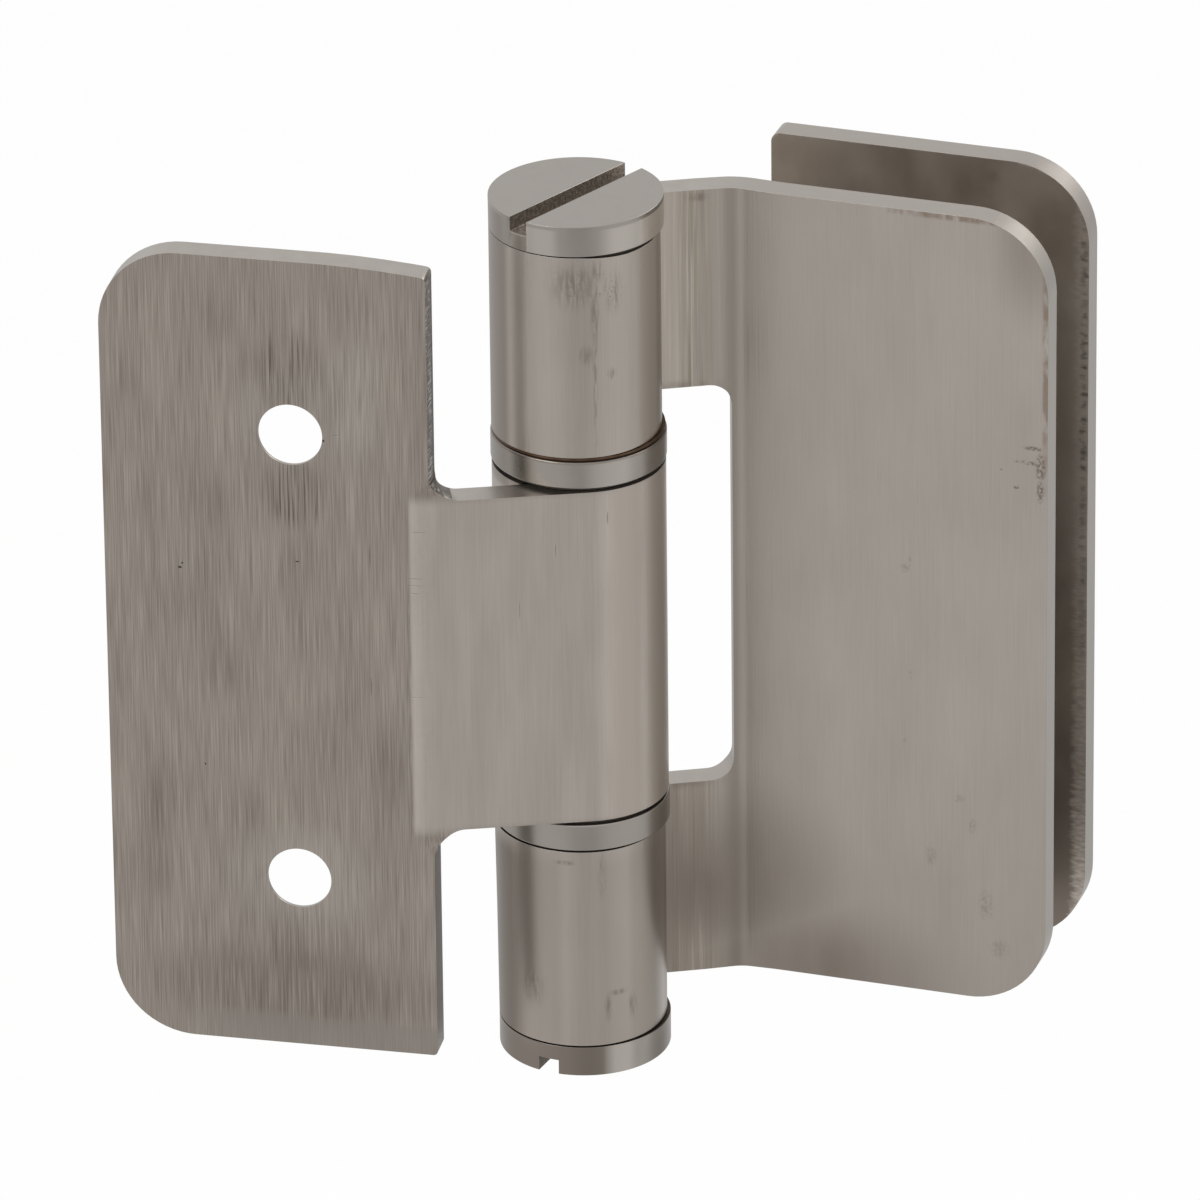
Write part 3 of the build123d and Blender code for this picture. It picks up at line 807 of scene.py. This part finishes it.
# Painted shade on the bottom cap's underside and sides and at the upper ring's left, painted highlights on
# the bottom cap and the upper ring, and painted reflection bands on the top cap's side, with painted shade at
# its left
below = patch(place, (20.4, 8.0, -47.9), (8.0, 9.0, 4.5), 0.3)
below = below.larger(patch(place, (37.0, 12.0, -47.9), (3.0, 6.0, 4.5), 0.2))
shade = (below * 0.72).blend(shade, glass_stain_and_shade)
bottom_cap = z.rise(-44.6, -45.0)
bottom_cap_shade = x.rise(31.6, 30.8) * (0.45 + x.rise(20.0, 27.0) * 0.45) + x.rise(34.8, 35.8) * 0.45
shade = (bottom_cap * bottom_cap_shade).blend(shade, glass_stain_and_shade)
shade = (bottom_cap * x.rise(31.4, 32.2) * x.rise(34.2, 33.2) * 0.22).blend(shade, painted_highlight)
at_ring = z.rise(23.0, 22.4) * z.rise(18.8, 19.2)
shade = (at_ring * x.rise(29.2, 31.0) * x.rise(34.6, 33.4) * 0.17).blend(shade, painted_highlight)
shade = (z.rise(17.6, 18.0) * z.rise(23.0, 22.4) * x.rise(22.0, 20.6) * 0.42).blend(shade, glass_stain_and_shade)
cap_side = z.rise(44.0, 45.0) * z.rise(48.4, 48.2)
bands = x.rise(21.6, 22.4) * (x.rise(24.4, 23.2) * 0.30 + x.rise(27.6, 26.4) * 0.20)
bands = bands + x.rise(31.0, 33.0) * 0.28 + x.rise(34.6, 35.8) * 0.85
shade = (cap_side * bands).blend(shade, painted_highlight)
shade = (cap_side * x.rise(21.4, 20.4) * 0.45).blend(shade, glass_stain_and_shade)
# Oil and rust have crept from the bronze washer over the rim of the ring below it
crept = z.rise(22.0, 22.25) * z.rise(22.6, 22.5)
shade = (crept * (0.75 + blotch * 0.2)).blend(shade, glass_stain_and_shade)
dirt = grain(place, 1.2, 1.2, 5, 99).rise(0.85, 1.4)
shade = (dirt * 0.4).blend(shade, glass_stain_and_shade)
close_finish(start, shade, 0.29 + blotch * 0.03 + dirt * 0.1, lathe * 0.0012 - dirt * 0.004)


def turned_ring(name, nodes, finish, low, high, outer, edge, tilt_left):
    """A ring turned about the pin line, with rounded edges, tilted up at its left by an angle."""
    rounds = [(sin(a), cos(a)) for a in spaced(0, radians(90), radians(30))]
    profile = [(pin_hole, low), (pin_hole, high)]
    profile += [(outer - edge + edge * s, high - edge + edge * c) for s, c in rounds]
    profile += [(outer - edge + edge * c, low + edge - edge * s) for s, c in rounds]
    bm = bmesh.new()
    verts = [bm.verts.new((radius, 0, height)) for radius, height in profile]
    edges = [bm.edges.new((verts[i - 1], verts[i])) for i in range(len(verts))]
    bmesh.ops.spin(bm, geom=verts + edges, axis=(0, 0, 1), cent=(0, 0, 0), angle=radians(360),
                   steps=ring_segments, use_merge=True)
    bmesh.ops.recalc_face_normals(bm, faces=bm.faces[:])
    to_middle = Matrix.Translation((0, 0, (low + high) / 2))
    turn = to_middle @ Matrix.Rotation(tilt_left, 4, "Y") @ to_middle.inverted()
    bmesh.ops.transform(bm, matrix=Matrix.Translation(pin_axis) @ turn, verts=bm.verts[:])
    in_place(bm, name, "glass_side", nodes, [finish])


for name, tilt in (("upper_thrust_ring", radians(0.25)), ("lower_thrust_ring", radians(-0.15))):
    lowest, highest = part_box(name)
    outer = (highest.x - lowest.x) / 2
    turned_ring(name + "_turned", [name], turned_finish, lowest.z, highest.z, outer, ring_edge, tilt)


def give(finish, *names):
    """Puts a finish on CAD nodes that keep their own shape."""
    for name in names:
        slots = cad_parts[name].data.materials
        slots.clear()
        slots.append(finish)


bronze_light = (0.180, 0.110, 0.068, 1)
bronze_dark = (0.022, 0.015, 0.011, 1)
bronze_finish, start = new_finish("oiled_bronze_painted_shade")
place, x, y, z = where(start)
film = grain(place, 0.8, 0.8, 4, 101)
# Brown at the top rim; the rest is painted near black as shade in the gap below
worn_and_lit = z.rise(22.46, 22.60) * (0.55 + film * 0.4)
close_finish(start, worn_and_lit.blend(bronze_dark, bronze_light), 0.42 + film * 0.05, film * 0.01)
give(bronze_finish, "upper_bronze_washer")


# Caps. Turned discs with a sawn screwdriver slot and a threaded stud that goes into the pin.
# Their sides are bright, partly from painted highlights, and the slots were left dark and rough from the saw.
cap_height = 3.3 * mm
cap_slot = 2.25 * mm
cap_slot_depth = 1.6 * mm
cap_round = 0.22 * mm
stud_radius = 3.0 * mm
stud_length = 10.0 * mm
stud_root = 0.3 * mm
stud_segments = 48
hair = 0.01 * mm

sawn_light = (0.420, 0.375, 0.330, 1)
sawn_dark = (0.120, 0.098, 0.080, 1)
sawn_finish, start = new_finish("sawn_slot")
place, x, y, z = where(start)
saw_marks = grain(place, 2.6, 2.6, 5, 111)
shade = (z.rise(-30.0, 30.0) * (0.5 + saw_marks * 0.45)).blend(sawn_dark, sawn_light)
close_finish(start, shade, 0.45 + saw_marks * 0.05, saw_marks * 0.05)

for name, end, slot_angle, tilt, wear in (("top_cap", 1, radians(60.4), radians(-0.35), 1.0),
                                          ("bottom_cap", -1, radians(-76.5), 0.0, 1.8)):
    bm = bmesh.new()
    bmesh.ops.create_circle(bm, cap_ends=True, segments=ring_segments, radius=knuckle_radius)
    slice_across(bm, (-cap_slot / 2, cap_slot / 2), axis=1)
    slot_floor = cap_height - cap_slot_depth
    top = raise_faces(bm, bm.faces[:], (0, 0, slot_floor), keep=True)
    moons = [face for face in top if abs(face.calc_center_median().y) > cap_slot / 2]
    raise_faces(bm, moons, (0, 0, cap_slot_depth))
    bmesh.ops.delete(bm, geom=moons, context="FACES")
    bmesh.ops.recalc_face_normals(bm, faces=bm.faces[:])
    soften(bm, cap_round * wear)
    for face in bm.faces:
        centre = face.calc_center_median()
        in_slot = abs(centre.y) < cap_slot / 2 + hair and centre.z > slot_floor - hair
        face.material_index = 1 if in_slot else 0
    stud = Matrix.Translation((0, 0, stud_root - stud_length / 2))
    bmesh.ops.create_cone(bm, cap_ends=True, segments=stud_segments, radius1=stud_radius,
                          radius2=stud_radius, depth=stud_length + 2 * stud_root, matrix=stud)
    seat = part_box(name)[1].z - cap_height if end == 1 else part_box(name)[0].z + cap_height
    flip = Matrix.Rotation(radians(0 if end == 1 else 180), 4, "X")
    lean = Matrix.Rotation(tilt, 4, "Y")
    to_seat = Matrix.Translation((pin_axis.x, pin_axis.y, seat))
    turn = lean @ flip @ Matrix.Rotation(slot_angle, 4, "Z")
    bmesh.ops.transform(bm, matrix=to_seat @ turn, verts=bm.verts[:])
    in_place(bm, name + "_slotted", "glass_side", [name], [turned_finish, sawn_finish])


# Slip washers. Thin black plastic, seen only as the dark lines between the rings and knuckles.
washer_light = (0.075, 0.062, 0.052, 1)
washer_dark = (0.035, 0.028, 0.023, 1)
washer_finish, start = new_finish("black_slip_washer")
place, x, y, z = where(start)
cloud = grain(place, 1.2, 1.2, 4, 121)
shade = (0.5 + cloud * 0.4).blend(washer_dark, washer_light)
close_finish(start, shade, 0.55 + cloud * 0.05, cloud * 0.01, 0.0)
give(washer_finish, "top_cap_washer", "bottom_cap_washer", "upper_inner_washer", "lower_inner_washer",
     "lower_outer_washer")


# Bushes and glass sleeves. Natural nylon, machined from rod, a little yellowed.
nylon_light = (0.80, 0.78, 0.73, 1)
nylon_dark = (0.66, 0.63, 0.56, 1)
nylon_finish, start = new_finish("natural_nylon")
place, x, y, z = where(start)
cloud = grain(place, 0.4, 0.4, 3, 131)
cuts = grain(place, 0.3, 5.0, 2, 137)
shade = (0.5 + cloud * 0.4).blend(nylon_dark, nylon_light)
close_finish(start, shade, 0.46 + cuts * 0.04, cuts * 0.006, 0.0)
give(nylon_finish, "centre_bush_upper", "centre_bush_lower", "knuckle_bush_upper", "knuckle_bush_lower",
     "glass_sleeve_upper", "glass_sleeve_lower")


# Pin, bosses and clamp screws. Plain turned stainless, out of sight from the front: the pin in
# its bushes, the bosses welded behind the glass leaf, and the countersunk screws through the plate.
bar_light = (0.47, 0.45, 0.42, 1)
bar_dark = (0.34, 0.32, 0.29, 1)
bar_finish, start = new_finish("turned_bar")
place, x, y, z = where(start)
cuts = grain(place, 0.6, 7.0, 3, 141)
cloud = grain(place, 0.5, 0.5, 3, 149)
shade = (0.5 + cuts * 0.25 + cloud * 0.25).blend(bar_dark, bar_light)
close_finish(start, shade, 0.30 + cloud * 0.04, cuts * 0.004)
give(bar_finish, "hinge_pin", "clamp_boss_upper", "clamp_boss_lower", "clamp_screws")
